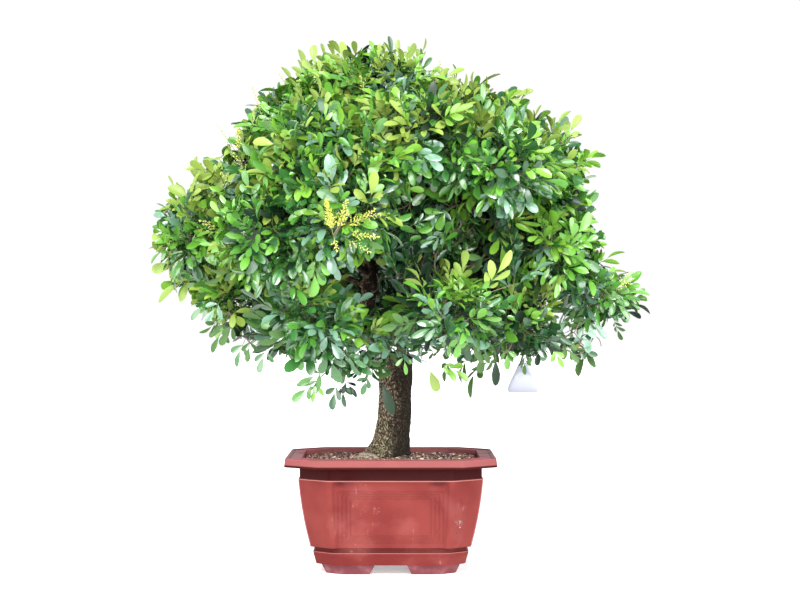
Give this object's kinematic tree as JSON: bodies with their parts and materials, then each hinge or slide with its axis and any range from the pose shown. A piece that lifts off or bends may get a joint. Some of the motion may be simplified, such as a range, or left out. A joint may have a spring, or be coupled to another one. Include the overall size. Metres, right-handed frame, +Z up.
{
  "type": "aglaia bonsai in a pot",
  "caption": "Leafy bonsai with a leaning trunk forking low into many boughs, a broad uneven dome of glossy compound leaves, and a footed rectangular pot with slanted corners.",
  "frame": {"origin": "on the ground, at the bottom centre of the whole plant's box, just right of the middle of the pot", "axes": "+Z up the plant, +Y from the front of the pot to its back, +X to the right as seen from the front"},
  "size_m": [0.7208, 0.5956, 0.7634],
  "materials": {
    "pot_plastic": "semi-gloss brick-red moulded plastic, dusty at the feet",
    "soil": "coarse gritty mix of tan and dark grains",
    "trunk_bark": "rough, pitted grey-brown bark",
    "limb_bark": "smoother grey-brown bark",
    "foliage": "glossy green leaves, paler at the tips of the crown"
  },
  "bodies": {
    "root": {"bough_back_centre": "limb_bark", "bough_back_left": "limb_bark", "bough_back_lower_left": "limb_bark", "bough_back_lower_right": "limb_bark", "bough_back_right": "limb_bark", "bough_front_centre": "limb_bark", "bough_front_left": "limb_bark", "bough_front_low": "limb_bark", "bough_front_lower_left": "limb_bark", "bough_front_lower_right": "limb_bark", "bough_front_upper": "limb_bark", "bough_front_upper_left": "limb_bark", "bough_front_upper_right": "limb_bark", "bough_left_lower": "limb_bark", "bough_left_outer": "limb_bark", "bough_right_lower": "limb_bark", "bough_right_middle": "limb_bark", "bough_right_outer": "limb_bark", "bough_top_right": "limb_bark", "bough_upper_left": "limb_bark", "bough_upper_right": "limb_bark", "leader_back": "limb_bark", "leader_left": "limb_bark", "leader_right": "limb_bark", "mass_back_centre": "foliage", "mass_back_left": "foliage", "mass_back_lower_left": "foliage", "mass_back_lower_right": "foliage", "mass_back_right": "foliage", "mass_back_top": "foliage", "mass_front_centre": "foliage", "mass_front_left": "foliage", "mass_front_low": "foliage", "mass_front_lower_left": "foliage", "mass_front_lower_right": "foliage", "mass_front_upper": "foliage", "mass_front_upper_left": "foliage", "mass_front_upper_right": "foliage", "mass_left_lower": "foliage", "mass_left_outer": "foliage", "mass_right_lower": "foliage", "mass_right_middle": "foliage", "mass_right_outer": "foliage", "mass_top": "foliage", "mass_top_left": "foliage", "mass_top_right": "foliage", "mass_upper_left": "foliage", "mass_upper_right": "foliage", "pot": "pot_plastic", "soil": "soil", "trunk": "trunk_bark"}
  },
  "joints": []
}
